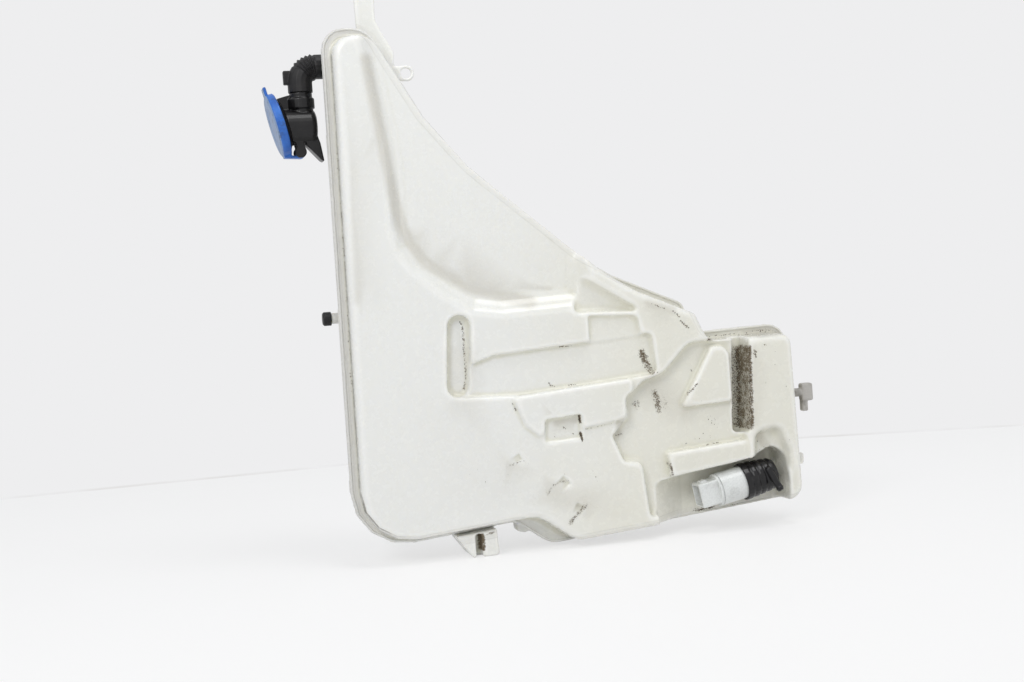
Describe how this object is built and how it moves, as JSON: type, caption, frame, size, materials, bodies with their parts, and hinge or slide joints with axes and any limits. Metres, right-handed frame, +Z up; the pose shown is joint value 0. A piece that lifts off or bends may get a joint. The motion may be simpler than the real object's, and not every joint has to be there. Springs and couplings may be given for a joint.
{
  "type": "washer fluid reservoir",
  "caption": "Tall moulded plastic washer fluid tank with a hinged filler cap on a flexible elbow and a washer pump seated in a pocket of its front face.",
  "frame": {"origin": "on the foot's underside, in the plane where the two halves of the tank are welded", "axes": "+X to the right of the front face, +Y back into the tank's depth, +Z up along the tank's height"},
  "size_m": [0.4096, 0.1025, 0.444],
  "materials": {
    "milky_polyethylene": "milky, slightly glossy moulded plastic",
    "black_rubber": "matt black",
    "black_plastic": "satin black",
    "blue_plastic": "satin blue",
    "white_plastic": "satin bluish white",
    "clip_plastic": "dirty grey",
    "steel": "plain steel",
    "copper": "copper",
    "brass": "plain brass",
    "ferrite": "dull dark grey magnet",
    "carbon": "dull black carbon",
    "nylon": "natural nylon"
  },
  "bodies": {
    "tank": {"tank_front_shell": "milky_polyethylene", "tank_rear_shell": "milky_polyethylene", "peg_cap": "black_rubber", "side_clip": "clip_plastic", "filler_elbow": "black_rubber", "filler_funnel": "black_plastic", "pump_end_cap": "white_plastic", "pump_terminal_1": "brass", "pump_terminal_2": "brass", "pump_motor_sleeve": "white_plastic", "pump_motor_can": "steel", "pump_magnet_1": "ferrite", "pump_magnet_2": "ferrite", "pump_brush_1": "carbon", "pump_brush_2": "carbon", "pump_bush_front": "brass", "pump_bush_rear": "brass", "pump_cover": "black_plastic", "pump_shaft_seal": "black_rubber", "pump_head": "black_plastic", "pump_grommet": "black_rubber", "pump_strainer": "nylon"},
    "cap": {"filler_cap": "blue_plastic", "cap_seal": "black_rubber"},
    "rotor": {"pump_shaft": "steel", "pump_armature": "copper", "pump_commutator": "copper", "pump_impeller": "nylon"}
  },
  "joints": [
    {"name": "cap_hinge", "type": "hinge", "parent": "tank", "child": "cap", "pos_m": [-0.10713, 0.02, 0.31051], "axis": [0, -1, 0], "range_deg": [0, 100]},
    {"name": "rotor_spin", "type": "hinge", "parent": "tank", "child": "rotor", "pos_m": [0.1739, -0.0205, 0.0297], "axis": [0.9833, 0, 0.1822], "continuous": true}
  ]
}
